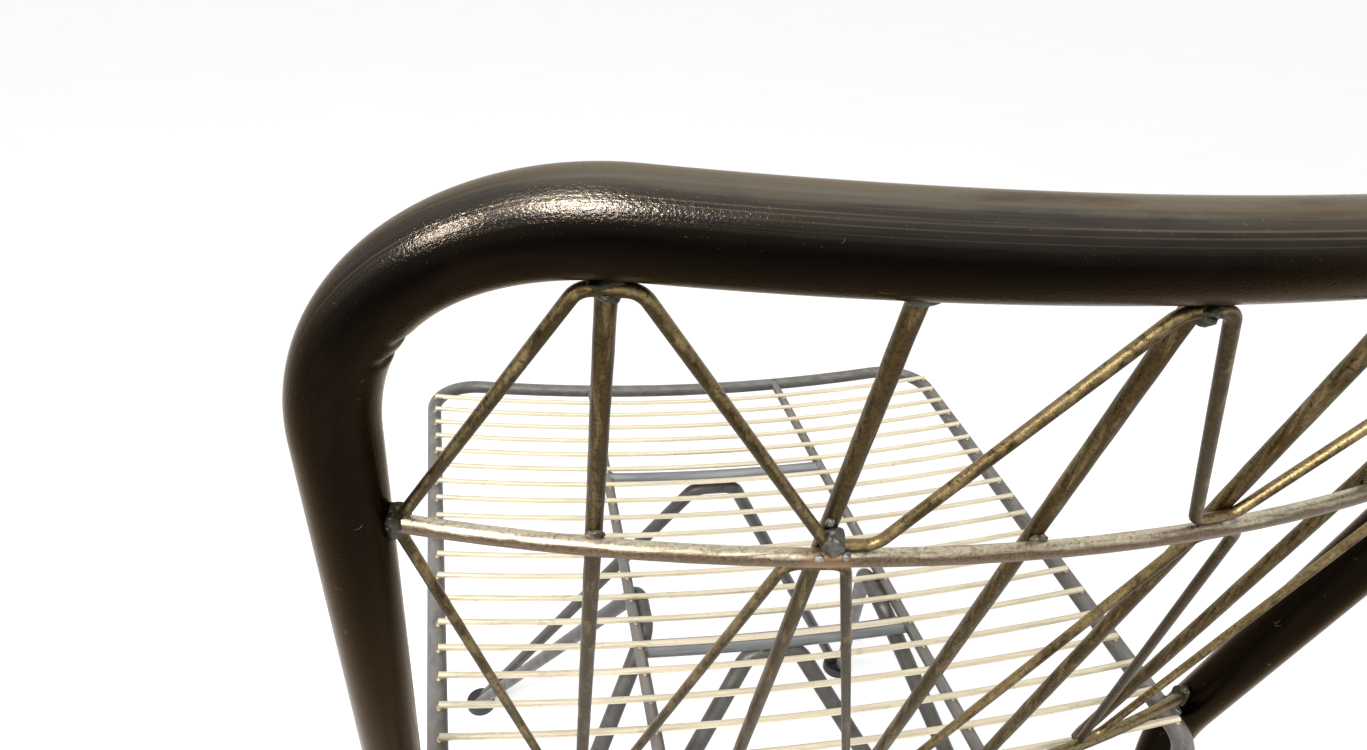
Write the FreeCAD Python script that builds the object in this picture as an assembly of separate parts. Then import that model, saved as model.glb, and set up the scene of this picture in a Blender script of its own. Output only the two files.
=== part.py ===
import FreeCAD, Part
import math
import os
from FreeCAD import Vector

# A welded metal dining chair: one bent tube makes the back and the rear legs,
# wires fill the back in a zigzag truss, and wires across a dished frame make the seat.
# Millimetres. X runs to the sitter's left, Y to the rear, Z up.

# Main proportions
SEAT_TOP = 445.0            # floor to the top of the seat frame at its corners
SEAT_DEPTH = 427.0          # post line to the front run of the seat frame
SEAT_BEHIND = 36.0          # post line to the rear run of the seat frame
SEAT_FRONT_HALF = 250.5     # middle of the chair to the side of the seat frame, at the front
SEAT_DIP = 17.7             # how far the front and rear runs sag in the middle
SEAT_FRONT_CORNER = 42.0    # bend radii of the seat frame
SEAT_REAR_CORNER = 28.0
BACK_LENGTH = 351.8         # seat frame to the rail of the back, along the back
BACK_RECLINE = 10.4         # degrees that the back leans rearward
RAIL_HALF = 214.0           # middle of the rail to the corner where rail and post would meet
POST_SPLAY = 4.2            # degrees that each post opens outward going down
BACK_CORNER = 80.0          # bend radius of the top corners
RAIL_TURN = 10.7            # degrees that the rail turns rearward as it leaves a corner
KNEE_RADIUS = 160.0         # bend where each post becomes a rear leg
KNEE_DROP = 36.0            # seat frame centre down to the corner of that bend, along the back
REAR_FOOT_HALF = 266.0      # middle of the chair to a rear foot
REAR_FOOT_BACK = 100.0      # post line to a rear foot, rearward
FRONT_FOOT_HALF = 234.0     # middle of the chair to a front foot
FRONT_FOOT_AHEAD = 378.0    # post line to a front foot, forward

# Stock
TUBE_DIAMETER = 25.4
TUBE_WALL = 1.5
FRAME_DIAMETER = 12.0       # seat frame and base rods
BAR_DIAMETER = 8.0          # the two bars under the seat wires
CROSSBAR_DIAMETER = 12.0
SEAT_WIRE_DIAMETER = 4.2
BACK_ROD_DIAMETER = 6.35
UPRIGHT_DIAMETER = 5.0
ZIGZAG_DIAMETER = 4.0
FIT = 0.1                   # clearance where round stock lies on round stock

# Back infill
UPRIGHT_PITCH = 73.3
UPRIGHTS_EACH_SIDE = 2
UPPER_ROD_DROP = 111.0      # rail centre to the upper rod, along the back
LOWER_ROD_RISE = 16.0       # seat frame centre to the lower rod, along the back
ROD_OVERRUN = 3.0           # uprights run past the lower rod by this much
ZIGZAG_BEND = 6.5           # bend radius of the zigzag wires
UPPER_LANDING = 1.0         # the upper zigzag's ends aim this far below the upper rod's centre
LOWER_LANDING = 4.4         # the lower zigzag's ends aim this far below it
ZIGZAG_END_CLEAR = 1.5      # both are coped to that rod, this far from the post's side
FAR_FLAT = (7.0, 7.0)       # a bend under the rail or on the lower rod lies flat this far each side
UPPER_FLAT = (1.0, 15.0)    # a bend on top of the upper rod, on the post's side and on the middle's
LOWER_FLAT = (12.0, 8.0)    # a bend under the upper rod, likewise
BITE = 3.0                  # stock is cut this far inside the tube before it is coped

# Seat
SEAT_WIRES = 20
FRONT_WIRE_MARGIN = 35.0    # front run of the frame to the first wire
REAR_WIRE_MARGIN = 25.0     # rear run of the frame to the last wire
SEAT_WIRE_SETBACK = 1.5     # wires end this far inside the middle of the frame bar
BAR_HALF_SPACING = 96.7     # middle of the chair to each long bar
FRONT_CROSSBAR_AHEAD = 281.0
REAR_CROSSBAR_AHEAD = 97.5

# Base
ROD_BEND = 16.0             # radius of the two bends at the top of each base rod
ROD_FLAT = 36.0             # level run at the top of each base rod, corner to corner
SIDE_ROD_AHEAD = 135.0      # post line to the middle of a side rod's level run
SIDE_ROD_INSET = 8.0        # long bar to the side rod's level run, toward the middle
REAR_ROD_LANDING = 42.0     # floor to where the rear rod meets a leg
SIDE_ROD_LANDING = 72.0     # floor to where a side rod meets a leg
FOOT_DIAMETER = 34.0
FOOT_HEIGHT = 11.0
FOOT_ROUND = 3.0
FOOT_FLOOR = 3.0            # thickness under the ends of the rods
TIP_DIAMETER = 31.0
TIP_HEIGHT = 24.0
TIP_FLOOR = 6.0             # floor to the end of the tube, on its axis
TIP_ROUND = 2.0

tube_radius = TUBE_DIAMETER / 2
frame_radius = FRAME_DIAMETER / 2
bar_radius = BAR_DIAMETER / 2
crossbar_radius = CROSSBAR_DIAMETER / 2
seat_wire_radius = SEAT_WIRE_DIAMETER / 2
rod_radius = BACK_ROD_DIAMETER / 2
upright_radius = UPRIGHT_DIAMETER / 2
zigzag_radius = ZIGZAG_DIAMETER / 2
seat_level = SEAT_TOP - frame_radius
recline = math.radians(BACK_RECLINE)
splay = math.radians(POST_SPLAY)
rail_turn = math.radians(RAIL_TURN)
post_half = RAIL_HALF + BACK_LENGTH * math.tan(splay)
SIDES = (("left", 1), ("right", -1))


def back_point(x, up, out=0.0):
    """A point of the back: across, up along the recline, and out to the rear of the posts."""
    y = up * math.sin(recline) + out * math.cos(recline)
    z = seat_level + up * math.cos(recline) - out * math.sin(recline)
    return Vector(x, y, z)


def back_direction(x, up, out):
    return (back_point(x, up, out) - back_point(0, 0, 0)).normalize()


def mirrored(point):
    return Vector(-point.x, point.y, point.z)


def bend_at(before, corner, after, radius):
    """First, middle and last point of the arc that rounds a corner."""
    arrive = (corner - before).normalize()
    leave = (after - corner).normalize()
    turn = arrive.getAngle(leave)
    setback = radius * math.tan(turn / 2)
    inward = (leave - arrive).normalize()
    middle = corner + inward * (radius / math.cos(turn / 2) - radius)
    return corner - arrive * setback, middle, corner + leave * setback


def bent_edges(points, radii):
    """Straight runs through the points, each inner corner rounded. The last run is left off."""
    edges = []
    start = points[0]
    for before, corner, after, radius in zip(points, points[1:], points[2:], radii):
        first, middle, last = bend_at(before, corner, after, radius)
        edges.append(Part.LineSegment(start, first).toShape())
        edges.append(Part.Arc(first, middle, last).toShape())
        start = last
    return edges, start


def bent_path(points, radii):
    edges, start = bent_edges(points, radii)
    edges.append(Part.LineSegment(start, points[-1]).toShape())
    return edges


def bow(start, direction):
    """A shallow arc across the middle, leaving start in the given direction, and its middle point."""
    turn = direction.getAngle(Vector(-1, 0, 0))
    aside = Vector(0, direction.y, direction.z).normalize()
    middle = Vector(0, start.y, start.z) + aside * (start.x * math.tan(turn / 2))
    return Part.Arc(start, middle, mirrored(start)).toShape(), middle


def mirror_edges(edges):
    return [edge.mirror(Vector(0, 0, 0), Vector(1, 0, 0)) for edge in edges]


def round_stock(edges, start, direction, radius):
    """Round bar of the given radius along the edges, which begin at start."""
    path = Part.Wire(Part.__sortEdges__(edges))
    section = Part.Face(Part.Wire(Part.Circle(start, direction, radius).toShape()))
    return path.makePipe(section)


def straight_stock(start, end, radius):
    return Part.makeCylinder(radius, (end - start).Length, start, end - start)


def arc_stock(start, middle, end, radius):
    arc = Part.Arc(start, middle, end)
    return round_stock([arc.toShape()], start, arc.tangent(arc.FirstParameter)[0], radius)


def export(shape, name):
    solids = shape.Solids
    if len(solids) != 1 or not shape.isValid():
        raise RuntimeError(name + " is not one valid solid")
    solids[0].exportStep(os.path.join("parts", name + ".step"))
    print(name, round(solids[0].Volume), "mm3")


def circle_height(x, half, ends, seat, seats_at):
    """Height at x of the arc through (half, ends) and (seats_at, seat), symmetric about x = 0."""
    centre = (half ** 2 - seats_at ** 2 + ends ** 2 - seat ** 2) / (2 * (ends - seat))
    radius = math.hypot(half, centre - ends)
    return centre - math.sqrt(radius ** 2 - x ** 2)


# Back tube: rear foot, knee at the seat, top corner, then the bowed rail
rear_axis_end = Vector(REAR_FOOT_HALF, REAR_FOOT_BACK, 0)
knee = back_point(post_half + KNEE_DROP * math.tan(splay), -KNEE_DROP)
leg_direction = (knee - rear_axis_end).normalize()
tube_end = rear_axis_end + leg_direction * (TIP_FLOOR / leg_direction.z)
corner = back_point(RAIL_HALF, BACK_LENGTH)
rail_direction = back_direction(-math.cos(rail_turn), 0, math.sin(rail_turn))
tube_points = [tube_end, knee, corner, corner + rail_direction * RAIL_HALF]
half_edges, rail_start = bent_edges(tube_points, (KNEE_RADIUS, BACK_CORNER))
rail_edge, rail_middle = bow(rail_start, rail_direction)
tube_edges = half_edges + [rail_edge] + mirror_edges(half_edges)
tube_solid = round_stock(tube_edges, tube_end, leg_direction, tube_radius)
tube_bore = round_stock(tube_edges, tube_end, leg_direction, tube_radius - TUBE_WALL)
back_tube = tube_solid.cut(tube_bore)

rail_bow_radius = rail_start.x / math.sin(rail_turn)
rail_bow = (rail_middle - back_point(0, BACK_LENGTH)).Length


def rail_out(x):
    """How far the rail's centre stands behind the posts at x."""
    return rail_bow - rail_bow_radius + math.sqrt(rail_bow_radius ** 2 - x ** 2)


def rail_fall(x):
    """How far the rail's centre has dropped at x, where the corner's bend has begun."""
    into_bend = max(0.0, abs(x) - rail_start.x)
    return BACK_CORNER - math.sqrt(BACK_CORNER ** 2 - into_bend ** 2)


# Rods across the back lie behind the uprights and end on the posts
upper_rod_up = BACK_LENGTH - UPPER_ROD_DROP
lower_rod_up = LOWER_ROD_RISE
rod_layer = upright_radius + rod_radius + FIT


def post_x(up):
    return RAIL_HALF + (BACK_LENGTH - up) * math.tan(splay)


def back_rod(up):
    end_x = post_x(up) - tube_radius + BITE
    start = back_point(end_x, up, rail_out(end_x) + rod_layer)
    middle = back_point(0, up, rail_out(0) + rod_layer)
    return arc_stock(start, middle, mirrored(start), rod_radius).cut(tube_solid)


upper_rod = back_rod(upper_rod_up)
lower_rod = back_rod(lower_rod_up)


# Uprights stand under the middle of the rail, coped to it, and run down past the lower rod
def upright(x):
    low = lower_rod_up - rod_radius - ROD_OVERRUN
    start = back_point(x, low, rail_out(x))
    end = back_point(x, BACK_LENGTH, rail_out(x))
    return straight_stock(start, end, upright_radius).cut(tube_solid)


upright_places = [step * UPRIGHT_PITCH for step in range(UPRIGHTS_EACH_SIDE, -UPRIGHTS_EACH_SIDE - 1, -1)]
uprights = [upright(x) for x in upright_places]

# Zigzag wires lie behind the uprights: each bend touches the rail or a rod
zigzag_layer = upright_radius + zigzag_radius + FIT
rail_reach = math.sqrt((tube_radius + zigzag_radius + FIT) ** 2 - zigzag_layer ** 2)
rod_reach = rod_radius + zigzag_radius + FIT


def zigzag(end_up, far_up, near_up, near_flat, far_fall):
    """A wire from post to post with a flat-topped bend at every upright, first far, then near.

    end_up, far_up and near_up are the levels of the wire's centre at its ends, at the bends away
    from the upper rod and at those on it. far_fall(x) is how far a far bend gives way."""
    end_x = post_x(end_up) - tube_radius - ZIGZAG_END_CLEAR
    half = [back_point(end_x, end_up, rail_out(end_x) + zigzag_layer)]
    for step in range(UPRIGHTS_EACH_SIDE, -1, -1):
        is_far = (UPRIGHTS_EACH_SIDE - step) % 2 == 0
        flats = FAR_FLAT if is_far else near_flat
        for reach in (flats[0], -flats[1]):
            x = step * UPRIGHT_PITCH + reach
            if x > 0:
                up = far_up - far_fall(x) if is_far else near_up
                half.append(back_point(x, up, rail_out(x) + zigzag_layer))
    points = half + [mirrored(point) for point in reversed(half)]
    edges = bent_path(points, [ZIGZAG_BEND] * (len(points) - 2))
    direction = (points[1] - points[0]).normalize()
    wire = round_stock(edges, points[0], direction, zigzag_radius).cut(tube_solid).cut(upper_rod)
    return max(wire.Solids, key=lambda solid: solid.Volume)


upper_zigzag = zigzag(upper_rod_up - UPPER_LANDING, BACK_LENGTH - rail_reach,
                      upper_rod_up + rod_reach, UPPER_FLAT, rail_fall)
lower_zigzag = zigzag(upper_rod_up - LOWER_LANDING, lower_rod_up + rod_reach,
                      upper_rod_up - rod_reach, LOWER_FLAT, lambda x: 0.0)

# Seat frame: one bar bent round the seat, its sides against the insides of the posts
side_at_posts = post_half - (tube_radius + frame_radius + FIT) / math.cos(splay)
side_slope = (SEAT_FRONT_HALF - side_at_posts) / SEAT_DEPTH


def side_half(ahead):
    """Middle of the chair to the side of the seat frame, ahead of the post line by ahead."""
    return side_at_posts + side_slope * ahead


def run_turn(half, corner_radius):
    """Angle at which the front or rear run leaves its corner to reach the full dip."""
    return 2 * math.atan(SEAT_DIP / (half + corner_radius))


def dip_direction(turn):
    return Vector(-math.cos(turn), 0, -math.sin(turn))


front_corner = Vector(side_half(SEAT_DEPTH), -SEAT_DEPTH, seat_level)
rear_corner = Vector(side_half(-SEAT_BEHIND), SEAT_BEHIND, seat_level)
front_turn = run_turn(front_corner.x, SEAT_FRONT_CORNER)
rear_turn = run_turn(rear_corner.x, SEAT_REAR_CORNER)
front_aim = front_corner + dip_direction(front_turn) * front_corner.x
rear_aim = rear_corner + dip_direction(rear_turn) * rear_corner.x
side_middle = (front_corner + rear_corner) / 2
to_front, front_start = bent_edges([side_middle, front_corner, front_aim], (SEAT_FRONT_CORNER,))
to_rear, rear_start = bent_edges([side_middle, rear_corner, rear_aim], (SEAT_REAR_CORNER,))
front_run, front_middle = bow(front_start, dip_direction(front_turn))
rear_run, rear_middle = bow(rear_start, dip_direction(rear_turn))
side_edges = to_front + to_rear
frame_edges = side_edges + mirror_edges(side_edges) + [front_run, rear_run]
seat_frame = round_stock(frame_edges, side_middle, (front_corner - side_middle).normalize(), frame_radius)


def run_level(start, turn, middle):
    """Level of a dipped run's centre where a long bar meets it."""
    radius = start.x / math.sin(turn)
    return middle.z + radius - math.sqrt(radius ** 2 - BAR_HALF_SPACING ** 2)


front_level = run_level(front_start, front_turn, front_middle)
rear_level = run_level(rear_start, rear_turn, rear_middle)

# Two long bars, tops level with the frame, coped to its front and rear runs
bar_level = min(front_level, rear_level) + frame_radius - bar_radius


def long_bar(side):
    start = Vector(side * BAR_HALF_SPACING, SEAT_BEHIND, bar_level)
    end = Vector(side * BAR_HALF_SPACING, -SEAT_DEPTH, bar_level)
    bar = straight_stock(start, end, bar_radius).cut(seat_frame)
    return max(bar.Solids, key=lambda solid: solid.Volume)


long_bars = {name: long_bar(side) for name, side in SIDES}


# Seat wires rest on the sides of the frame and on the long bars
wire_on_frame = seat_level + frame_radius + seat_wire_radius + 2 * FIT
wire_on_bar = bar_level + bar_radius + seat_wire_radius + FIT


def seat_wire(ahead):
    half = side_half(ahead)
    end_x = half - SEAT_WIRE_SETBACK
    ends = circle_height(end_x, half, wire_on_frame, wire_on_bar, BAR_HALF_SPACING)
    middle = circle_height(0, half, wire_on_frame, wire_on_bar, BAR_HALF_SPACING)
    return arc_stock(Vector(end_x, -ahead, ends), Vector(0, -ahead, middle),
                     Vector(-end_x, -ahead, ends), seat_wire_radius)


first_wire_ahead = SEAT_DEPTH - FRONT_WIRE_MARGIN
wire_pitch = (first_wire_ahead + SEAT_BEHIND - REAR_WIRE_MARGIN) / (SEAT_WIRES - 1)
seat_wires = [seat_wire(first_wire_ahead - count * wire_pitch) for count in range(SEAT_WIRES)]

# Crossbars lie along the wires, between the long bars, with their tops just under the wires
crossbar_under_wire = seat_wire_radius + FIT + crossbar_radius


def crossbar_level(ahead, x):
    wire_level = circle_height(x, side_half(ahead), wire_on_frame, wire_on_bar, BAR_HALF_SPACING)
    return wire_level - crossbar_under_wire


def crossbar(ahead):
    start = Vector(BAR_HALF_SPACING, -ahead, crossbar_level(ahead, BAR_HALF_SPACING))
    middle = Vector(0, -ahead, crossbar_level(ahead, 0))
    bar = arc_stock(start, middle, mirrored(start), crossbar_radius)
    bar = bar.cut(long_bars["left"]).cut(long_bars["right"])
    return max(bar.Solids, key=lambda solid: solid.Volume)


crossbars = {"front": crossbar(FRONT_CROSSBAR_AHEAD), "rear": crossbar(REAR_CROSSBAR_AHEAD)}


# Base rods: each has a level run at the top between two bends, and runs down to two feet
def base_rod(crest, toward_a, end_a, end_b):
    """A rod from end_a over crest to end_b. toward_a points along the level run to end_a's side."""
    corner_a = crest + toward_a * (ROD_FLAT / 2)
    corner_b = crest - toward_a * (ROD_FLAT / 2)
    edges = bent_path([end_a, corner_a, corner_b, end_b], (ROD_BEND, ROD_BEND))
    return round_stock(edges, end_a, (corner_a - end_a).normalize(), frame_radius)


def leg_axis(height):
    return rear_axis_end + leg_direction * (height / leg_direction.z)


def under_crossbar(ahead):
    return Vector(0, -ahead, crossbar_level(ahead, 0) - crossbar_radius - frame_radius - FIT)


leftward = Vector(1, 0, 0)
forward = Vector(0, -1, 0)
front_crest = under_crossbar(FRONT_CROSSBAR_AHEAD)
rear_crest = under_crossbar(REAR_CROSSBAR_AHEAD)
bar_reach = bar_radius + frame_radius + FIT
side_crest = Vector(BAR_HALF_SPACING - SIDE_ROD_INSET, -SIDE_ROD_AHEAD,
                    bar_level - math.sqrt(bar_reach ** 2 - SIDE_ROD_INSET ** 2))

# At a front foot two rods stand side by side, square to the way they arrive
front_foot = Vector(FRONT_FOOT_HALF, -FRONT_FOOT_AHEAD, 0)
from_front = (front_crest + leftward * (ROD_FLAT / 2) - front_foot).normalize()
from_side = (side_crest + forward * (ROD_FLAT / 2) - front_foot).normalize()
apart = Vector(from_side.x - from_front.x, from_side.y - from_front.y, 0).normalize()
half_gap = apart * (frame_radius + 2 * FIT)
foot_up = Vector(0, 0, FOOT_FLOOR + frame_radius)
front_rod_end = front_foot + foot_up - half_gap
side_rod_end = front_foot + foot_up + half_gap

front_rod = base_rod(front_crest, leftward, front_rod_end, mirrored(front_rod_end))
rear_rod_end = leg_axis(REAR_ROD_LANDING)
rear_rod = base_rod(rear_crest, leftward, rear_rod_end, mirrored(rear_rod_end)).cut(tube_solid)
left_side_rod = base_rod(side_crest, forward, side_rod_end, leg_axis(SIDE_ROD_LANDING)).cut(tube_solid)
right_side_rod = left_side_rod.mirror(Vector(0, 0, 0), Vector(1, 0, 0))
side_rods = {"left": left_side_rod, "right": right_side_rod}


# Front feet are turned pads that take both rods. Rear feet are caps on the tube
def front_pad(side):
    place = Vector(side * FRONT_FOOT_HALF, -FRONT_FOOT_AHEAD, 0)
    pad = Part.makeCylinder(FOOT_DIAMETER / 2, FOOT_HEIGHT, place)
    pad = pad.makeFillet(FOOT_ROUND, [edge for edge in pad.Edges if edge.CenterOfMass.z > FOOT_HEIGHT / 2
                                      and len(edge.Vertexes) == 1])
    name = "left" if side > 0 else "right"
    return pad.cut(front_rod).cut(side_rods[name])


def rear_cap(side):
    axis = Vector(side * leg_direction.x, leg_direction.y, leg_direction.z)
    low = Vector(side * rear_axis_end.x, rear_axis_end.y, 0) - axis * TIP_HEIGHT
    cap = Part.makeCylinder(TIP_DIAMETER / 2, 2 * TIP_HEIGHT, low, axis)
    rim = [edge for edge in cap.Edges if edge.CenterOfMass.z > TIP_HEIGHT / 2 and len(edge.Vertexes) == 1]
    cap = cap.makeFillet(TIP_ROUND, rim)
    ground = Part.makeBox(2 * TIP_DIAMETER, 2 * TIP_DIAMETER, 2 * TIP_HEIGHT)
    ground.translate(Vector(low.x - TIP_DIAMETER, low.y - TIP_DIAMETER, -2 * TIP_HEIGHT))
    return cap.cut(ground).cut(tube_solid)


nodes = {
    "back_tube": back_tube,
    "back_upper_rod": upper_rod,
    "back_lower_rod": lower_rod,
    "upper_zigzag": upper_zigzag,
    "lower_zigzag": lower_zigzag,
    "seat_frame": seat_frame,
    "base_front_rod": front_rod,
    "base_rear_rod": rear_rod,
}
for number, shape in enumerate(uprights, 1):
    nodes["back_upright_%d" % number] = shape
for number, shape in enumerate(seat_wires, 1):
    nodes["seat_wire_%02d" % number] = shape
for name, shape in crossbars.items():
    nodes["seat_crossbar_" + name] = shape
for name, side in SIDES:
    nodes["seat_long_bar_" + name] = long_bars[name]
    nodes["base_side_rod_" + name] = side_rods[name]
    nodes["front_foot_" + name] = front_pad(side)
    nodes["rear_cap_" + name] = rear_cap(side)

# The origin goes to the floor, under the middle of the chair's outline
outline = Part.makeCompound(list(nodes.values())).optimalBoundingBox(False, False)
to_origin = Vector(-outline.Center.x, -outline.Center.y, -outline.ZMin)
print("moved by", to_origin, "size", outline.XLength, outline.YLength, outline.ZLength)
os.makedirs("parts", exist_ok=True)
for name, shape in nodes.items():
    shape.translate(to_origin)
    export(shape, name)
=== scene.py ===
import math
from types import SimpleNamespace

import bmesh
import bpy
from mathutils import Matrix, Vector, noise


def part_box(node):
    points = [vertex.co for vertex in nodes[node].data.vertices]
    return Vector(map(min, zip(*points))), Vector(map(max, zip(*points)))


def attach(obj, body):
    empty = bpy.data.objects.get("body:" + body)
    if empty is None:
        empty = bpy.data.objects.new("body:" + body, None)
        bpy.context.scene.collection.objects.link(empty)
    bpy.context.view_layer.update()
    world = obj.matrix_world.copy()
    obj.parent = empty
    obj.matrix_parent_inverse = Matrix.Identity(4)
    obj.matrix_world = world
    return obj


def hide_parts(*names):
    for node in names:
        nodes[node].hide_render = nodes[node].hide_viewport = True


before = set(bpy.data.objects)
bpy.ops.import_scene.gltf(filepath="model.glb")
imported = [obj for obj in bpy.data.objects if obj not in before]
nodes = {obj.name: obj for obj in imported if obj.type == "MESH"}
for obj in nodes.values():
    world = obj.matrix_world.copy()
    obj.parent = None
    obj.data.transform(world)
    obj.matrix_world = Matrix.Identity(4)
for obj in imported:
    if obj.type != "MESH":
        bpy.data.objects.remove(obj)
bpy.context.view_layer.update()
scene = bpy.context.scene

# --- Back tube ---------------------------------------------------------------------------
# One steel tube, 25 mm across, bent into two rear legs and the rail of the back. Bending has
# drawn in the inside of each top corner and left creases there. It is lacquered dark bronze.
SEAT_LEVEL = 0.439
SEAT_BEHIND = 0.036
FRAME_RADIUS = 0.006
BACK_LENGTH = 0.3518
RECLINE = math.radians(10.4)
SPLAY = math.radians(4.2)
RAIL_HALF = 0.214
RAIL_TURN = math.radians(10.7)
CORNER_RADIUS = 0.080
KNEE_RADIUS = 0.160
KNEE_DROP = 0.036
REAR_FOOT = Vector((0.266, 0.100, 0.0))
TUBE_END_HEIGHT = 0.006
TUBE_RADIUS = 0.0127
TUBE_SIDES = 64
CORNER_STEP = 0.0010
KNEE_STEP = 0.008
RAIL_STEPS = 16
DRAWN_IN = 0.22                     # share of the radius, at the middle of the bend
DRAWN_IN_FALL = 1.4                 # how fast it fades round the tube
CREASE_PLACES = (0.0412, 0.0502)    # along the bend, from the post's end of it
CREASE_DEPTH = 0.0023
CREASE_WIDTH = 0.0017
CREASE_FALL = 5
# Painted sheen and shade: colour by how far the tube faces up, near-black below, pale on top.
SHEEN_AND_SHADE_BY_SLOPE = [(0.28, (0.0058, 0.0039, 0.0024)), (0.52, (0.0046, 0.0031, 0.0022)),
                  (0.64, (0.0130, 0.0103, 0.0080)), (0.76, (0.0350, 0.0305, 0.0262)),
                  (0.87, (0.0700, 0.0625, 0.0530)), (0.97, (0.1950, 0.1700, 0.1320))]
WARM_BROWN = (0.0120, 0.0074, 0.0040)
TAN_LINE = (0.190, 0.140, 0.085)
PALE_SPECK = (0.40, 0.33, 0.23)
SCRATCH_TAN = (0.28, 0.20, 0.10)
RIM_TINT = (0.68, 0.62, 0.56, 1)
post_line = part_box("seat_frame")[1].y - SEAT_BEHIND - FRAME_RADIUS


def on_back(x, up, out=0.0):
    """A point of the back: across, up along the recline, and out to the rear of the posts."""
    return Vector((x, post_line + up * math.sin(RECLINE) + out * math.cos(RECLINE),
                   SEAT_LEVEL + up * math.cos(RECLINE) - out * math.sin(RECLINE)))


def post_x(up):
    return RAIL_HALF + (BACK_LENGTH - up) * math.tan(SPLAY)


rear_foot = REAR_FOOT + Vector((0, post_line, 0))
knee = on_back(post_x(-KNEE_DROP), -KNEE_DROP)
leg_direction = (knee - rear_foot).normalized()
top_corner = on_back(RAIL_HALF, BACK_LENGTH)
rail_direction = on_back(-math.cos(RAIL_TURN), 0, math.sin(RAIL_TURN)) - on_back(0, 0)


def arc_between(before, corner, after, radius, step):
    """(place, how far round from 0 to 1, direction to the inside) at steps round a corner."""
    arrive = (corner - before).normalized()
    leave = (after - corner).normalized()
    turn = arrive.angle(leave)
    start = corner - arrive * (radius * math.tan(turn / 2))
    inward = (leave - arrive * arrive.dot(leave)).normalized()
    count = max(4, round(turn * radius / step))
    points = []
    for k in range(count + 1):
        angle = turn * k / count
        place = start + arrive * (radius * math.sin(angle))
        place += inward * (radius * (1 - math.cos(angle)))
        points.append((place, k / count, inward * math.cos(angle) - arrive * math.sin(angle)))
    return points


corner_arc = arc_between(knee, top_corner, top_corner + rail_direction,
                         CORNER_RADIUS, CORNER_STEP)
rail_start = corner_arc[-1][0]
bow_radius = rail_start.x / math.sin(RAIL_TURN)
rail_start_out = (rail_start - on_back(rail_start.x, BACK_LENGTH)).length
rail_middle_out = rail_start.x * math.tan(RAIL_TURN / 2) + rail_start_out


def rail_out(x):
    """How far the rail's centre stands behind the posts at x."""
    return rail_middle_out - bow_radius + math.sqrt(bow_radius ** 2 - x ** 2)


def half_of_tube():
    """(place, how far round the top corner, direction to its inside) from foot to mid rail."""
    still = Vector((0, 0, 0))
    end = rear_foot + leg_direction * (TUBE_END_HEIGHT / leg_direction.z)
    half = [(end, 0, still)]
    for place, _, _ in arc_between(end, knee, top_corner, KNEE_RADIUS, KNEE_STEP):
        half.append((place, 0, still))
    half += corner_arc
    for k in range(1, RAIL_STEPS + 1):
        x = rail_start.x * (1 - k / RAIL_STEPS)
        half.append((on_back(x, BACK_LENGTH, rail_out(x)), 0, still))
    return half


def sweep(name, rings, around, radius_at):
    """A closed bar along rings of (place, extra...), with the attribute "stock" for its grain."""
    mesh = bpy.data.meshes.new(name)
    mould = bmesh.new()
    grain = mould.verts.layers.float_vector.new("stock")
    places = [ring[0] for ring in rings]
    side = (places[1] - places[0]).orthogonal()
    along = 0.0
    loops = []
    for k, place in enumerate(places):
        before = places[max(k - 1, 0)]
        after = places[min(k + 1, len(places) - 1)]
        tangent = (after - before).normalized()
        side = (side - tangent * side.dot(tangent)).normalized()
        other = tangent.cross(side)
        along += (place - before).length
        loop = []
        for n in range(around):
            angle = 2 * math.pi * n / around
            out = side * math.cos(angle) + other * math.sin(angle)
            radius = radius_at(k, out, along)
            vert = mould.verts.new(place + out * radius)
            vert[grain] = Vector((along, radius * math.cos(angle), radius * math.sin(angle)))
            loop.append(vert)
        loops.append(loop)
    for low, high in zip(loops, loops[1:]):
        for n in range(around):
            mould.faces.new((low[n], low[(n + 1) % around], high[(n + 1) % around], high[n]))
    mould.faces.new(reversed(loops[0]))
    mould.faces.new(loops[-1])
    bmesh.ops.recalc_face_normals(mould, faces=mould.faces)
    for face in mould.faces:
        face.smooth = len(face.verts) == 4
    mould.to_mesh(mesh)
    mould.free()
    piece = bpy.data.objects.new(name, mesh)
    scene.collection.objects.link(piece)
    return piece


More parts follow.
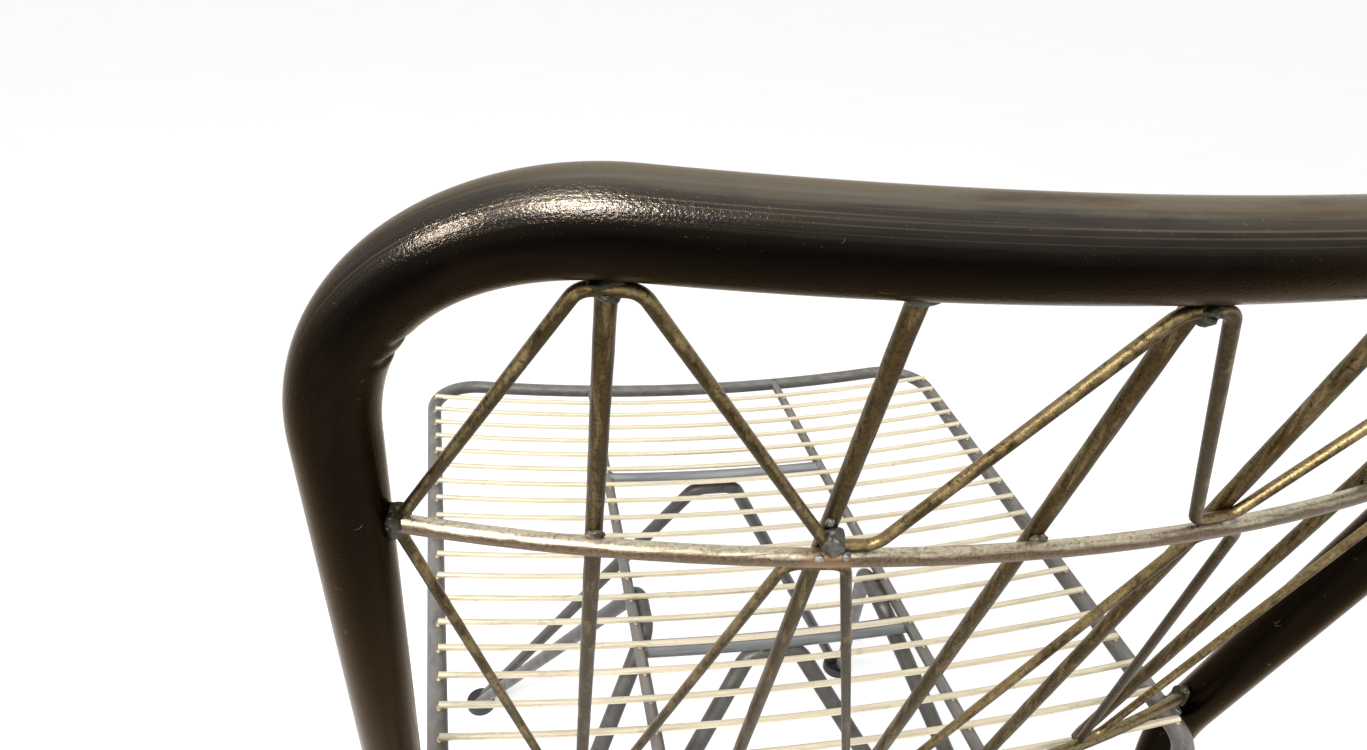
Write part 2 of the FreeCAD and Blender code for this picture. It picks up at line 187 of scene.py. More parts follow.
def kit_for(tree, shader):
    """Short ways to add nodes to a tree and join them to its shader."""
    def add(kind, inputs=None, **settings):
        node = tree.nodes.new(kind)
        for key, value in settings.items():
            setattr(node, key, value)
        for key, value in (inputs or {}).items():
            if isinstance(value, bpy.types.NodeSocket):
                tree.links.new(value, node.inputs[key])
            else:
                node.inputs[key].default_value = value
        return node

    def combine(kind, first, second):
        return add("ShaderNodeMath", {0: first, 1: second}, operation=kind).outputs[0]

    def ramp(factor, stops):
        node = add("ShaderNodeValToRGB", {"Fac": factor})
        elements = node.color_ramp.elements
        while len(elements) < len(stops):
            elements.new(0.5)
        for element, (place, colour) in zip(elements, stops):
            element.position = place
            element.color = (*colour, 1)
        return node.outputs["Color"]

    def blend(factor, first, second):
        node = add("ShaderNodeMix", {0: factor}, data_type="RGBA")
        for socket, value in ((6, first), (7, second)):
            if isinstance(value, bpy.types.NodeSocket):
                tree.links.new(value, node.inputs[socket])
            else:
                node.inputs[socket].default_value = (*value, 1)
        return node.outputs[2]

    def fit(value, low, high, to_low=0.0, to_high=1.0):
        node = add("ShaderNodeMapRange", {"Value": value, "From Min": low, "From Max": high,
                                          "To Min": to_low, "To Max": to_high})
        return node.outputs["Result"]

    def mottle(vector, scale, detail=6.0, roughness=0.6, distortion=0.0):
        node = add("ShaderNodeTexNoise", {"Vector": vector, "Scale": scale, "Detail": detail,
                                          "Roughness": roughness, "Distortion": distortion})
        return node.outputs["Fac"]

    def stretched(vector, stretch):
        return add("ShaderNodeMapping", {"Vector": vector, "Scale": stretch}).outputs["Vector"]

    def join(socket, name):
        tree.links.new(socket, shader.inputs[name])

    def bump(height, strength, distance, under=None):
        inputs = {"Height": height, "Strength": strength, "Distance": distance}
        if under is not None:
            inputs["Normal"] = under
        return add("ShaderNodeBump", inputs).outputs["Normal"]

    def set_to(name, value):
        shader.inputs[name].default_value = value

    return SimpleNamespace(add=add, combine=combine, ramp=ramp, blend=blend, fit=fit, mottle=mottle,
                           stretched=stretched, join=join, bump=bump, set_to=set_to, shader=shader)


def finish_of(name):
    material = bpy.data.materials.new(name)
    material.use_nodes = True
    tree = material.node_tree
    return material, kit_for(tree, tree.nodes["Principled BSDF"])


def facing_up(kit, low, high):
    """0 where the surface faces down and 1 where it faces up, between two slopes."""
    normal = kit.add("ShaderNodeNewGeometry").outputs["Normal"]
    upward = kit.add("ShaderNodeSeparateXYZ", {"Vector": normal}).outputs["Z"]
    return kit.fit(upward, low, high)


def tube_finish():
    """Dark bronze, lined in fine tan and specked pale where it faces up, with scratches;
    painted lighter on top as a sheen and near-black below as shade.
    """
    material, kit = finish_of("dark_bronze")
    mottle, stretched, fit, blend = kit.mottle, kit.stretched, kit.fit, kit.blend
    grain = kit.add("ShaderNodeAttribute", attribute_name="stock").outputs["Vector"]
    drawn = mottle(stretched(grain, (4.0, 420.0, 420.0)), 1.0, 8.0, 0.68, 0.25)
    lines = mottle(stretched(grain, (2.2, 700.0, 700.0)), 1.0, 3.0, 0.55)
    broad = mottle(stretched(grain, (16.0, 60.0, 60.0)), 1.0, 4.0, 0.55, 0.8)

    # The colour is painted lighter where it faces up, a painted sheen, and near-black where it
    # faces down, painted shade.
    slope = kit.combine("ADD", facing_up(kit, -1.0, 1.0), fit(broad, 0.3, 0.7, -0.045, 0.045))
    slope = kit.combine("ADD", slope, fit(drawn, 0.3, 0.7, -0.035, 0.035))
    tone = kit.ramp(slope, SHEEN_AND_SHADE_BY_SLOPE)
    colour = blend(fit(broad, 0.52, 0.72, 0.0, 0.55), tone, WARM_BROWN)

    # Fine tan grain lines, shown only where the tube faces up, are partly a painted sheen.
    streaks = kit.combine("MULTIPLY", facing_up(kit, 0.30, 0.75), fit(lines, 0.55, 0.61, 0.0, 0.80))
    colour = blend(streaks, colour, TAN_LINE)
    specks = fit(mottle(grain, 2300.0, 1.0, 0.5), 0.74, 0.80)
    colour = blend(kit.combine("MULTIPLY", facing_up(kit, 0.0, 0.9), specks), colour, PALE_SPECK)

    # A scratch runs where this noise is half way, in the few patches that the coarser one picks.
    path = mottle(grain, 150.0, 1.5, 0.5)
    nearness = kit.combine("ABSOLUTE", kit.combine("SUBTRACT", path, 0.5), 0.0)
    patches = fit(mottle(grain, 95.0, 1.0), 0.70, 0.73)
    scratch = kit.combine("MULTIPLY", fit(nearness, 0.0, 0.006, 1.0, 0.0), patches)
    kit.join(blend(scratch, colour, SCRATCH_TAN), "Base Color")

    kit.join(fit(drawn, 0.3, 0.75, 0.13, 0.22), "Roughness")
    relief = kit.bump(drawn, 0.25, 0.0004)
    orange_peel = mottle(stretched(grain, (1050.0, 1500.0, 1500.0)), 1.0, 2.0, 0.6)
    kit.join(kit.bump(orange_peel, 0.50, 0.00024, relief), "Normal")
    kit.set_to("Metallic", 1.0)
    kit.set_to("Specular Tint", RIM_TINT)
    return material


left_half = half_of_tube()
flip = Vector((-1, 1, 1))
tube_rings = list(left_half)
for place, bend, inside in reversed(left_half[:-1]):
    tube_rings.append((place * flip, bend, inside * flip))
corner_length = CORNER_RADIUS * (top_corner - knee).angle(rail_direction)


def tube_radius_at(k, out, along):
    """Full size, but drawn in and creased on the inside of a top corner."""
    _, bend, inside = tube_rings[k]
    if bend in (0, 1):
        return TUBE_RADIUS
    inner = max(0.0, out.dot(inside))
    shrink = DRAWN_IN * math.sin(math.pi * bend) ** 2 * inner ** DRAWN_IN_FALL
    crease = 0.0
    for place in CREASE_PLACES:
        away = (bend * corner_length - place) / CREASE_WIDTH
        crease += CREASE_DEPTH * math.exp(-away ** 2) * inner ** CREASE_FALL
    return TUBE_RADIUS * (1 - shrink) - crease


back_tube = sweep("back_tube_lacquered", tube_rings, TUBE_SIDES, tube_radius_at)
back_tube.data.materials.append(tube_finish())
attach(back_tube, "root")
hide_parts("back_tube")

# --- Seat frame --------------------------------------------------------------------------
# A 12 mm bar bent round the seat between the posts, two 8 mm bars under the seat wires and
# two 12 mm crossbars between them. All are welded and finished together in a dark grey bronze.


def clothe(material, *names):
    for name in names:
        slots = nodes[name].data.materials
        slots.clear()
        slots.append(material)
        for face in nodes[name].data.polygons:
            face.material_index = 0


def shade(colour, share):
    return tuple(share * c for c in colour)


def grey_bronze(name, stretch, under, over):
    """A dark plated grey, drawn along the bar, painted lighter along its top as a highlight and
    darker below as shade.
    """
    material, kit = finish_of(name)
    place = kit.add("ShaderNodeTexCoord").outputs["Object"]
    drawn = kit.mottle(kit.stretched(place, stretch), 1.0, 6.0, 0.65, 0.4)
    broad = kit.mottle(place, 55.0, 4.0, 0.6, 0.8)
    dark = kit.ramp(broad, [(0.32, shade(under, 0.6)), (0.50, under), (0.70, shade(under, 1.5))])
    light = kit.ramp(drawn, [(0.35, shade(over, 0.7)), (0.62, shade(over, 1.25))])
    # Painted light and shade: the lit top and the shaded underside are blended by facing up.
    kit.join(kit.blend(facing_up(kit, -0.1, 0.9), dark, light), "Base Color")
    kit.join(kit.fit(drawn, 0.3, 0.7, 0.30, 0.52), "Roughness")
    kit.join(kit.bump(kit.mottle(place, 700.0, 4.0, 0.6), 0.3, 0.0005), "Normal")
    kit.set_to("Metallic", 0.35)
    return material


clothe(grey_bronze("grey_bronze_frame", (60.0, 60.0, 260.0),
                   (0.055, 0.052, 0.049), (0.160, 0.150, 0.138)), "seat_frame")
clothe(grey_bronze("grey_bronze_long", (260.0, 8.0, 260.0),
                   (0.060, 0.056, 0.052), (0.180, 0.168, 0.155)),
       "seat_long_bar_left", "seat_long_bar_right")
clothe(grey_bronze("grey_blue_crossbar", (8.0, 260.0, 260.0),
                   (0.085, 0.090, 0.094), (0.230, 0.240, 0.245)),
       "seat_crossbar_front", "seat_crossbar_rear")

# --- Seat wires --------------------------------------------------------------------------
# Straight-drawn 4.2 mm wires laid 21 mm apart across the frame and the long bars, dished a
# little, and spot welded at each crossing. They are plated a pale champagne brass.
CHAMPAGNE_TONES = [(0.3, (0.60, 0.520, 0.370)), (0.6, (0.76, 0.675, 0.495)),
                   (0.8, (0.85, 0.770, 0.590))]
WORN_BRASS = (0.40, 0.315, 0.200)


def champagne_plate():
    material, kit = finish_of("champagne_plate")
    place = kit.add("ShaderNodeTexCoord").outputs["Object"]
    drawn = kit.mottle(kit.stretched(place, (10.0, 420.0, 420.0)), 1.0, 5.0, 0.6)
    worn = kit.mottle(place, 120.0, 5.0, 0.65, 0.8)
    pale = kit.ramp(drawn, CHAMPAGNE_TONES)
    kit.join(kit.blend(kit.fit(worn, 0.58, 0.74, 0.0, 0.6), pale, WORN_BRASS), "Base Color")
    kit.join(kit.fit(worn, 0.35, 0.7, 0.28, 0.46), "Roughness")
    kit.join(kit.bump(drawn, 0.25, 0.0003), "Normal")
    kit.set_to("Metallic", 0.55)
    return material


seat_wires = sorted(name for name in nodes if name.startswith("seat_wire_"))
clothe(champagne_plate(), *seat_wires)

# --- Uprights of the back ----------------------------------------------------------------
# Five rods stand between the rail and the lower cross rod, coped to the rail and welded. They
# are brass plated and toned with a brown patina, which makes them a little uneven and thicker.
UPRIGHT_PITCH = 0.0733
UPRIGHT_RADIUS = 0.0025
UPRIGHT_SIDES = 20
UPRIGHT_STEPS = 120
CRUST = 0.0004
CRUST_LUMPS = 0.35                  # share of the crust
CRUST_START = 3                     # steps over which it grows from the foot
LOWER_ROD_UP = 0.016
ROD_RADIUS = 0.003175
UPRIGHT_OVERRUN = 0.003
UPRIGHT_BITE = 0.0015


def toned_brass(name, stretch, brass, patina, crackled, cover):
    """Brass showing through a brown patina, in mottles drawn out along the rod, with more brass
    painted on top as a highlight and more patina below as shade.
    """
    material, kit = finish_of(name)
    place = kit.add("ShaderNodeTexCoord").outputs["Object"]
    drawn = kit.mottle(kit.stretched(place, stretch), 1.0, 8.0, 0.68, 0.5)
    fine = kit.mottle(place, 900.0, 4.0, 0.7)
    bare = kit.ramp(fine, [(0.3, shade(brass, 0.72)), (0.7, shade(brass, 1.22))])
    toned = kit.ramp(fine, [(0.3, shade(patina, 0.6)), (0.7, shade(patina, 1.5))])
    # The patina mottles are real; adding the slope paints bare brass on top and patina below.
    shaded = kit.combine("ADD", drawn, facing_up(kit, -1.0, 1.0))
    colour = kit.blend(kit.fit(shaded, cover, cover + 0.24), toned, bare)
    crackle = kit.mottle(place, 360.0, 9.0, 0.78, 1.2)
    colour = kit.blend(kit.fit(crackle, 0.52, 0.60, 0.0, 0.72), colour, crackled)
    kit.join(colour, "Base Color")
    kit.join(kit.fit(fine, 0.3, 0.7, 0.30, 0.50), "Roughness")
    pitted = kit.bump(fine, 0.35, 0.0003)
    kit.join(kit.bump(drawn, 0.3, 0.0005, pitted), "Normal")
    kit.set_to("Metallic", 1.0)
    return material, kit


def crusted(k, out, along):
    """The rod's radius with its uneven crust of patina, which thins out at the foot."""
    spot = Vector((along * 90.0, out.x, out.y * 1.3))
    thickness = CRUST * min(1.0, k / CRUST_START)
    return UPRIGHT_RADIUS + thickness * (1 + CRUST_LUMPS * noise.noise(spot))


upright_finish, _ = toned_brass("toned_brass_upright", (300.0, 300.0, 28.0),
                                (0.205, 0.153, 0.078), (0.050, 0.033, 0.013),
                                (0.020, 0.012, 0.005), 0.93)
upright_low = LOWER_ROD_UP - ROD_RADIUS - UPRIGHT_OVERRUN
upright_top = BACK_LENGTH - TUBE_RADIUS + UPRIGHT_BITE
for number in range(1, 6):
    x = (3 - number) * UPRIGHT_PITCH
    rings = []
    for k in range(UPRIGHT_STEPS + 1):
        up = upright_low + (upright_top - upright_low) * k / UPRIGHT_STEPS
        rings.append((on_back(x, up, rail_out(x)),))
    bar = sweep("upright_toned_%d" % number, rings, UPRIGHT_SIDES, crusted)
    bar.data.materials.append(upright_finish)
    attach(bar, "root")
    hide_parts("back_upright_%d" % number)

# --- Cross rods --------------------------------------------------------------------------
# Two bowed 6 mm rods cross behind the uprights, from post to post. The upper one is rubbed
# bright by hands, and in part has a painted highlight along its top and painted shade under
# it; the heat of welding has tinted it orange near a weld.
UPPER_ROD_UP = 0.2408
ROD_LAYER = 0.005775
HEAT_CENTRE = UPRIGHT_PITCH + 0.002
HEAT_REACH = 0.012
HEAT_ORANGE = (0.260, 0.150, 0.080)


def heat_tint(kit, centre, reach, colour):
    """Lay a tint over the base colour within reach of a weld at x = centre."""
    under = kit.shader.inputs["Base Color"].links[0].from_socket
    place = kit.add("ShaderNodeTexCoord").outputs["Object"]
    across = kit.add("ShaderNodeSeparateXYZ", {"Vector": place}).outputs["X"]
    away = kit.combine("ABSOLUTE", kit.combine("SUBTRACT", across, centre), 0.0)
    uneven = kit.fit(kit.mottle(place, 160.0), 0.3, 0.7, -0.005, 0.005)
    ragged = kit.combine("ADD", away, uneven)
    kit.join(kit.blend(kit.fit(ragged, 0.003, reach, 0.75, 0.0), under, colour), "Base Color")


# Upper rod: brighter brass, its top painted lighter as a highlight, its underside as shade.
rubbed_and_lit, rubbed_and_lit_kit = toned_brass("rubbed_and_lit_brass_rod", (26.0, 260.0, 260.0),
                                 (0.60, 0.525, 0.385), (0.130, 0.094, 0.062),
                                 (0.200, 0.148, 0.100), 1.24)
heat_tint(rubbed_and_lit_kit, HEAT_CENTRE, HEAT_REACH, HEAT_ORANGE)
clothe(rubbed_and_lit, "back_upper_rod")
toned, _ = toned_brass("toned_brass_rod", (26.0, 260.0, 260.0),
                       (0.24, 0.18, 0.095), (0.045, 0.032, 0.018),
                       (0.018, 0.012, 0.006), 0.98)
clothe(toned, "back_lower_rod")

# --- Zigzag wires ------------------------------------------------------------------------
# Two 4 mm wires are bent to and fro between the rail and the rods, touching them at every
# upright, so that the back works as a truss. They have the toned brass of the uprights.
zigzag_finish, _ = toned_brass("toned_brass_zigzag", (110.0, 110.0, 60.0),
                               (0.235, 0.172, 0.082), (0.042, 0.028, 0.011),
                               (0.017, 0.010, 0.004), 0.93)
clothe(zigzag_finish, "upper_zigzag", "lower_zigzag")

# --- Welds of the back -------------------------------------------------------------------
# Small beads of weld hold the crossings. They are left as they froze, a little lumpy, and
# have gone dark grey-green under the toning, with one large bead on the second upright.
LARGE_BEAD_AT = UPRIGHT_PITCH - 0.0005
LARGE_BEAD = (0.0038, 0.0042, 0.0054)    # half sizes of a bead, the last up the back
LARGE_BEAD_LIFT = 0.0072
LARGE_BEAD_OUT = 0.0050
# Painted glints: pale lumps beside and above the large bead, where light glints on it.
GLINT_LUMP = (0.0016, 0.0014, 0.0016)
GLINT_LUMP_ASIDE = 0.0045
GLINT_LUMP_LIFT = 0.0030
GLINT_LUMP_OUT = 0.0078
TOP_GLINT = (0.0016, 0.0012, 0.0022)
TOP_GLINT_ASIDE = 0.0018
TOP_GLINT_LIFT = 0.0140
TOP_GLINT_OUT = 0.0022
PALE_BEAD = (0.0030, 0.0020, 0.0014)
PALE_BEAD_LIFT = 0.0030
PALE_BEAD_OUT = 0.0052
ROD_BEAD = (0.0030, 0.0018, 0.0020)
ROD_BEAD_LIFT = 0.0026
ROD_BEAD_OUT = 0.0030
RAIL_BEAD = (0.0048, 0.0024, 0.0020)
RAIL_BEAD_DROP = 0.0130
RAIL_BEAD_OUT = 0.0020
ROD_END_BEAD = (0.0052, 0.0048, 0.0068)
ROD_END_BEAD_IN = 0.0006
ROD_END_BEAD_OUT = ROD_LAYER * 0.9
BEND_BEAD_DROPS_AND_WIDTHS = ((0.0136, 0.0055), (0.0160, 0.0034))
BEND_BEAD_DEPTH = 0.0029
BEND_BEAD_HEIGHT = 0.0022
BEND_BEAD_OUT = 0.0040
up_back = on_back(0, 1) - on_back(0, 0)
second_out = rail_out(UPRIGHT_PITCH)


def back_bead(x, up, out, sizes):
    """A bead at a place on the back, its third size running up the back."""
    return on_back(x, up, out), sizes, up_back


def beads(name, places, lumps=0.22, smoothness=4):
    """Lumpy beads in one mesh, from (place, half sizes, direction of the third size)."""
    mesh = bpy.data.meshes.new(name)
    mould = bmesh.new()
    for count, (place, sizes, aim) in enumerate(places):
        turn = aim.to_track_quat("Z", "Y").to_matrix()
        made = bmesh.ops.create_icosphere(mould, subdivisions=smoothness, radius=1.0)
        for vert in made["verts"]:
            spot = vert.co * 1.3 + Vector((7.1 * count, 3.7, 1.9))
            lump = 1 + lumps * noise.noise(spot) + 0.3 * lumps * noise.noise(spot * 3.1)
            lumpy = Vector([c * size * lump for c, size in zip(vert.co, sizes)])
            vert.co = turn @ lumpy + place
    for face in mould.faces:
        face.smooth = True
    mould.to_mesh(mesh)
    mould.free()
    piece = bpy.data.objects.new(name, mesh)
    scene.collection.objects.link(piece)
    return piece


def weld_metal(name, dark, light, metallic=0.4):
    material, kit = finish_of(name)
    place = kit.add("ShaderNodeTexCoord").outputs["Object"]
    frozen = kit.mottle(place, 420.0, 5.0, 0.65, 0.6)
    kit.join(kit.ramp(frozen, [(0.35, dark), (0.68, light)]), "Base Color")
    kit.join(kit.fit(frozen, 0.3, 0.7, 0.28, 0.5), "Roughness")
    kit.join(kit.bump(frozen, 0.5, 0.0006), "Normal")
    kit.set_to("Metallic", metallic)
    return material


def weld_piece(name, places, lumps, material, smoothness=4):
    piece = beads(name, places, lumps, smoothness)
    piece.data.materials.append(material)
    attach(piece, "root")


grey_green = weld_metal("weld_grey_green", (0.024, 0.024, 0.019), (0.088, 0.088, 0.072))
large_bead = back_bead(LARGE_BEAD_AT, UPPER_ROD_UP + LARGE_BEAD_LIFT, second_out + LARGE_BEAD_OUT,
                       LARGE_BEAD)
weld_piece("weld_large", [large_bead], 0.3, grey_green)

# Pale lumps at the large bead are painted glints; one more pale bead is on the fourth upright.
bright_beads = []
for aside in (-GLINT_LUMP_ASIDE, GLINT_LUMP_ASIDE):
    bright_beads.append(back_bead(LARGE_BEAD_AT + aside, UPPER_ROD_UP + GLINT_LUMP_LIFT,
                                  second_out + GLINT_LUMP_OUT, GLINT_LUMP))
bright_beads.append(back_bead(LARGE_BEAD_AT + TOP_GLINT_ASIDE, UPPER_ROD_UP + TOP_GLINT_LIFT,
                              second_out + TOP_GLINT_OUT, TOP_GLINT))
bright_beads.append(back_bead(-UPRIGHT_PITCH, UPPER_ROD_UP + PALE_BEAD_LIFT,
                              second_out + PALE_BEAD_OUT, PALE_BEAD))
pale_weld = weld_metal("weld_pale", (0.090, 0.088, 0.076), (0.270, 0.260, 0.230), 0.6)
weld_piece("welds_bright", bright_beads, 0.3, pale_weld)

small_beads = []
for step in (-2, -1, 0, 2):
    x = step * UPRIGHT_PITCH
    small_beads.append(back_bead(x, UPPER_ROD_UP + ROD_BEAD_LIFT, rail_out(x) + ROD_BEAD_OUT,
                                 ROD_BEAD))
for step in range(-2, 3):
    x = step * UPRIGHT_PITCH
    small_beads.append(back_bead(x, LOWER_ROD_UP + ROD_BEAD_LIFT, rail_out(x) + ROD_BEAD_OUT,
                                 ROD_BEAD))
    small_beads.append(back_bead(x, BACK_LENGTH - RAIL_BEAD_DROP, rail_out(x) + RAIL_BEAD_OUT,
                                 RAIL_BEAD))
dull_weld = weld_metal("weld_dull", (0.030, 0.025, 0.017), (0.120, 0.100, 0.066))
weld_piece("welds_of_back", small_beads, 0.25, dull_weld)

end_beads = []
for up in (UPPER_ROD_UP, LOWER_ROD_UP):
    x = post_x(up) - TUBE_RADIUS
    for side in (1, -1):
        end_beads.append(back_bead(side * (x - ROD_END_BEAD_IN), up,
                                   rail_out(x) + ROD_END_BEAD_OUT, ROD_END_BEAD))
for step in (-2, 0, 2):
    x = step * UPRIGHT_PITCH
    for drop, width in BEND_BEAD_DROPS_AND_WIDTHS:
        end_beads.append(back_bead(x, BACK_LENGTH - drop, rail_out(x) + BEND_BEAD_OUT,
                                   (width, BEND_BEAD_DEPTH, BEND_BEAD_HEIGHT)))
lacquered_weld = weld_metal("weld_lacquered", (0.014, 0.012, 0.006), (0.046, 0.040, 0.022), 0.7)
weld_piece("welds_lacquered", end_beads, 0.4, lacquered_weld)

# --- Welds of the seat -------------------------------------------------------------------
# Spot welds have squeezed a thin collar out beside each wire where it crosses the frame or a
# long bar. Fillets of weld close the joints of frame, bars and posts.
WIRE_SETBACK = 0.0015
FRAME_COLLAR = (0.0022, 0.0031, 0.0013)
FRAME_COLLAR_IN = 0.0022
FRAME_COLLAR_SUNK = 0.0002
BAR_COLLAR = (0.0022, 0.0031, 0.0012)
BAR_COLLAR_SUNK = 0.0001
POST_FILLET = (0.0032, 0.0065, 0.0028)
POST_FILLET_IN = 0.0018
POST_FILLET_LIFT = 0.0046
BAR_END_FILLET = (0.0050, 0.0022, 0.0044)
BAR_END_FILLET_IN = 0.0010
CROSSBAR_FILLET = (0.0022, 0.0068, 0.0058)
CROSSBAR_FILLET_IN = 0.0042
long_bars = ("seat_long_bar_left", "seat_long_bar_right")
crossbars = ("seat_crossbar_front", "seat_crossbar_rear")
level = Vector((0, 0, 1))

collars = []
for name in seat_wires:
    low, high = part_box(name)
    y = (low.y + high.y) / 2
    for side, bar in zip((1, -1), long_bars):
        bar_low, bar_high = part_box(bar)
        x = side * (high.x + WIRE_SETBACK - FRAME_COLLAR_IN)
        collars.append((Vector((x, y, SEAT_LEVEL + FRAME_RADIUS - FRAME_COLLAR_SUNK)),
                        FRAME_COLLAR, level))
        x = (bar_low.x + bar_high.x) / 2
        collars.append((Vector((x, y, bar_high.z - BAR_COLLAR_SUNK)), BAR_COLLAR, level))
champagne_weld = weld_metal("weld_champagne", (0.160, 0.125, 0.080), (0.420, 0.340, 0.220), 0.5)
weld_piece("spot_welds", collars, 0.25, champagne_weld, 2)

fillets = []
for side in (1, -1):
    for lift in (POST_FILLET_LIFT, -POST_FILLET_LIFT):
        x = side * (post_x(0) - TUBE_RADIUS - POST_FILLET_IN)
        fillets.append((Vector((x, post_line, SEAT_LEVEL + lift)), POST_FILLET, level))
for bar in long_bars:
    low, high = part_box(bar)
    centre = Vector(((low.x + high.x) / 2, 0, (low.z + high.z) / 2))
    for y in (low.y + BAR_END_FILLET_IN, high.y - BAR_END_FILLET_IN):
        fillets.append((centre + Vector((0, y, 0)), BAR_END_FILLET, level))
    for crossbar in crossbars:
        cross_low, cross_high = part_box(crossbar)
        x = centre.x - math.copysign(CROSSBAR_FILLET_IN, centre.x)
        y = (cross_low.y + cross_high.y) / 2
        fillets.append((Vector((x, y, cross_high.z - FRAME_RADIUS)), CROSSBAR_FILLET, level))
grey_weld = weld_metal("weld_grey", (0.050, 0.050, 0.047), (0.160, 0.156, 0.146))
weld_piece("welds_of_seat", fillets, 0.2, grey_weld)

# --- Base --------------------------------------------------------------------------------
# Four 12 mm rods, each bent over under the seat, run down in pairs to the two front feet and
# to the rear legs. They carry the dark grey bronze of the seat frame.
BEAD_PITCH = 0.009
CROSSBAR_BEAD = (0.0060, 0.0042, 0.0016)
SIDE_ROD_AHEAD = 0.135
SIDE_ROD_BEAD = (0.0024, 0.0060, 0.0018)
SIDE_ROD_BEAD_IN = 0.0036
SIDE_ROD_BEAD_LIFT = 0.0012
clothe(grey_bronze("grey_bronze_base", (90.0, 90.0, 16.0),
                   (0.040, 0.036, 0.032), (0.120, 0.110, 0.098)),
       "base_front_rod", "base_rear_rod", "base_side_rod_left", "base_side_rod_right")
base_beads = []
for crossbar in crossbars:
    low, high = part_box(crossbar)
    for aside in (-BEAD_PITCH, 0.0, BEAD_PITCH):
        base_beads.append((Vector((aside, (low.y + high.y) / 2, low.z)), CROSSBAR_BEAD, level))
for bar in long_bars:
    low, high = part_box(bar)
    middle = (low.x + high.x) / 2
    x = middle - math.copysign(SIDE_ROD_BEAD_IN, middle)
    for aside in (-BEAD_PITCH, 0.0, BEAD_PITCH):
        base_beads.append((Vector((x, post_line - SIDE_ROD_AHEAD + aside,
                                   low.z + SIDE_ROD_BEAD_LIFT)), SIDE_ROD_BEAD, level))
dark_weld = weld_metal("weld_dark_grey", (0.034, 0.032, 0.029), (0.110, 0.104, 0.094))
weld_piece("welds_of_base", base_beads, 0.25, dark_weld)

# --- Feet --------------------------------------------------------------------------------
# Moulded black glides: pads that take both rods at the front, and caps pushed on the rear
# legs. They are matt, with a fine grain, and a little scuffed.
MOULDED_BLACK = (0.012, 0.012, 0.012)
SCUFFED = (0.06, 0.058, 0.055)


def black_moulding():
    material, kit = finish_of("black_moulding")
    place = kit.add("ShaderNodeTexCoord").outputs["Object"]
    grain = kit.mottle(place, 1400.0, 3.0, 0.6)
    scuffs = kit.mottle(kit.stretched(place, (60.0, 60.0, 300.0)), 1.0, 5.0, 0.7)
    scuffed = kit.fit(scuffs, 0.6, 0.75, 0.0, 0.5)
    kit.join(kit.blend(scuffed, MOULDED_BLACK, SCUFFED), "Base Color")
    kit.join(kit.fit(grain, 0.3, 0.7, 0.42, 0.6), "Roughness")
    kit.join(kit.bump(grain, 0.3, 0.0002), "Normal")
    return material


clothe(black_moulding(), "front_foot_left", "front_foot_right", "rear_cap_left", "rear_cap_right")

# --- Floor and light ---------------------------------------------------------------------
# A plain pale floor under a white sky, one broad soft light from above, and two small lamps
# over the left end of the back for its highlights.
FLOOR_HALF = 20.0
FLOOR_TONE = 0.76
FLOOR_LIFT = 0.45                   # light added to what the camera sees of the floor
SKY = 0.42                          # strength of the sky as light, against 1 as background
DAYLIGHT_WHITE = (1.0, 0.99, 0.97)
LAMP_WHITE = (1.0, 0.99, 0.98)
LAMP_AWAY = 1.5
HIGH_LAMP_TOWARD = Vector((0.33, 0.60, 0.72))
SIDE_LAMP_TOWARD = Vector((0.82, 0.32, 0.47))


def seen_directly(kit):
    """1 for what the camera sees straight, mirrored in metal or through glass, else 0."""
    path = kit.add("ShaderNodeLightPath").outputs
    seen = kit.combine("MAXIMUM", path["Is Camera Ray"], path["Is Glossy Ray"])
    return kit.combine("MAXIMUM", seen, path["Is Transmission Ray"])


def pale_floor():
    """Pale and even, and lifted to white for the camera while the shadow stays on it."""
    material, kit = finish_of("pale_floor")
    place = kit.add("ShaderNodeTexCoord").outputs["Object"]
    tone = kit.mottle(place, 3.0, 3.0, 0.5)
    shades = [(0.3, (FLOOR_TONE - 0.01,) * 3), (0.7, (FLOOR_TONE + 0.01,) * 3)]
    kit.join(kit.ramp(tone, shades), "Base Color")
    kit.set_to("Roughness", 0.9)
    kit.set_to("Specular IOR Level", 0.0)
    kit.set_to("Emission Color", (1, 1, 1, 1))
    kit.join(kit.combine("MULTIPLY", seen_directly(kit), FLOOR_LIFT), "Emission Strength")
    return material


floor_mesh = bpy.data.meshes.new("floor")
floor_corners = [(-FLOOR_HALF, -FLOOR_HALF, 0), (FLOOR_HALF, -FLOOR_HALF, 0),
                 (FLOOR_HALF, FLOOR_HALF, 0), (-FLOOR_HALF, FLOOR_HALF, 0)]
floor_mesh.from_pydata(floor_corners, [], [(0, 1, 2, 3)])
floor_mesh.materials.append(pale_floor())
floor = bpy.data.objects.new("floor", floor_mesh)
scene.collection.objects.link(floor)


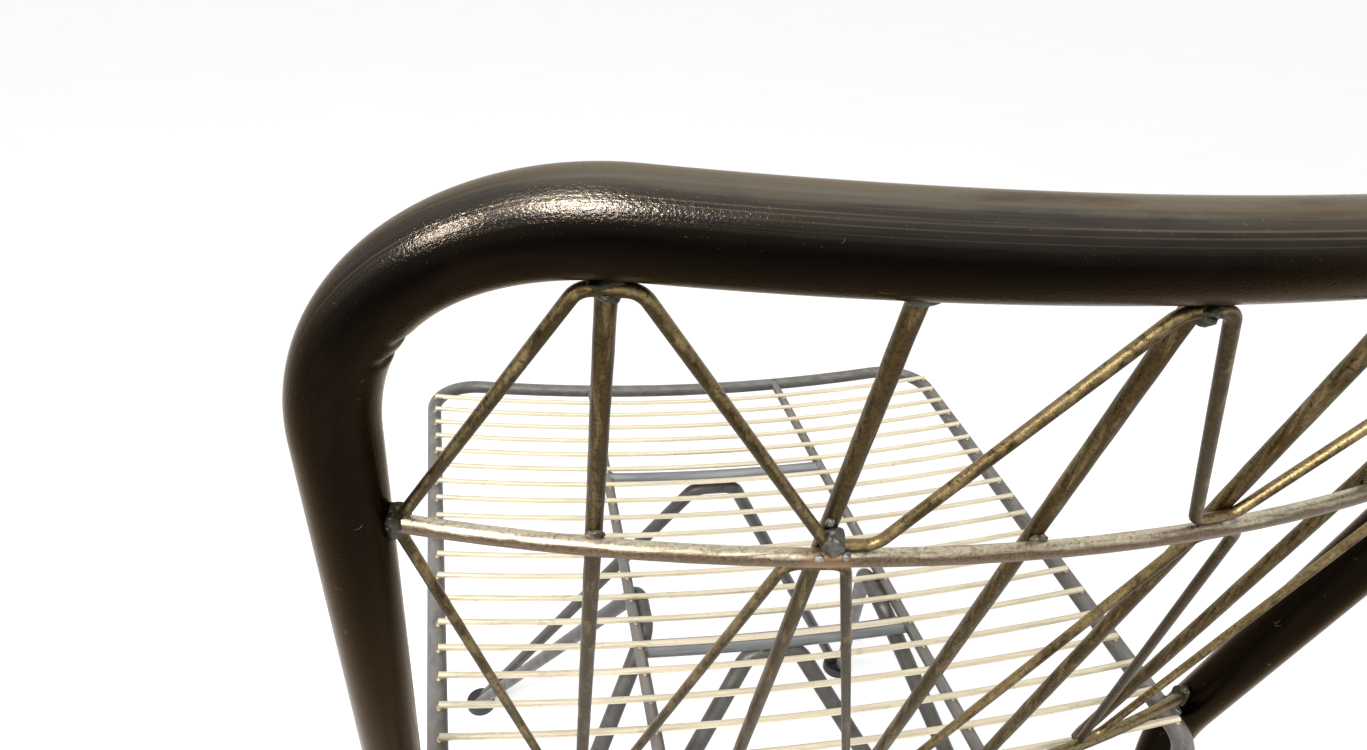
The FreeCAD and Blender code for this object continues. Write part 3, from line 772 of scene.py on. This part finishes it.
def lamp(name, kind, place, target, strength, colour, **settings):
    data = bpy.data.lights.new(name, kind)
    data.energy = strength
    data.color = colour
    for key, value in settings.items():
        setattr(data, key, value)
    light = bpy.data.objects.new(name, data)
    light.location = place
    light.rotation_euler = (Vector(target) - Vector(place)).to_track_quat("-Z", "Y").to_euler()
    scene.collection.objects.link(light)


rail_end = on_back(0.15, BACK_LENGTH)
lamp("soft_daylight", "SUN", (1.0, 0.9, 2.4), (0, 0, 0.4), 0.95, DAYLIGHT_WHITE,
     angle=math.radians(32))
lamp("high_lamp", "AREA", rail_end + HIGH_LAMP_TOWARD * LAMP_AWAY, rail_end, 30, LAMP_WHITE,
     shape="RECTANGLE", size=0.55, size_y=0.18)
lamp("side_lamp", "AREA", rail_end + SIDE_LAMP_TOWARD * LAMP_AWAY, rail_end, 15, LAMP_WHITE,
     shape="RECTANGLE", size=0.18, size_y=0.34)

world = bpy.data.worlds.new("studio")
world.use_nodes = True
sky_kit = kit_for(world.node_tree, world.node_tree.nodes["Background"])
lifted = sky_kit.combine("MULTIPLY", seen_directly(sky_kit), 1.0 - SKY)
sky_kit.join(sky_kit.combine("ADD", lifted, SKY), "Strength")
sky_kit.set_to("Color", (1, 1, 1, 1))
scene.world = world
scene.view_settings.view_transform = "Standard"

# --- Camera ------------------------------------------------------------------------------
# A short lens close behind the left end of the back, looking down over the rail to the seat.
# Its place, aim and shift were fitted to the lines of the back and the seat.
EYE_LEFT = 0.16750
EYE_BEHIND_POSTS = 0.23876
EYE_OVER_SEAT = 0.40216
LOOK = Vector((-0.16296, -0.81045, -0.56269))
RIGHTWARD = Vector((-0.98558, 0.16009, 0.05485))
camera_data = bpy.data.cameras.new("camera")
camera_data.sensor_width = 36.0
camera_data.lens = 20.2627
camera_data.shift_x = 0.024788
camera_data.shift_y = 0.036327
camera_data.clip_start = 0.01
camera = bpy.data.objects.new("camera", camera_data)
look = LOOK.normalized()
rightward = (RIGHTWARD - look * look.dot(RIGHTWARD)).normalized()
upward = rightward.cross(look)
eye = Vector((EYE_LEFT, EYE_BEHIND_POSTS + post_line, EYE_OVER_SEAT + SEAT_LEVEL))
facing = Matrix((rightward, upward, -look)).transposed().to_4x4()
camera.matrix_world = Matrix.Translation(eye) @ facing
scene.collection.objects.link(camera)
scene.camera = camera
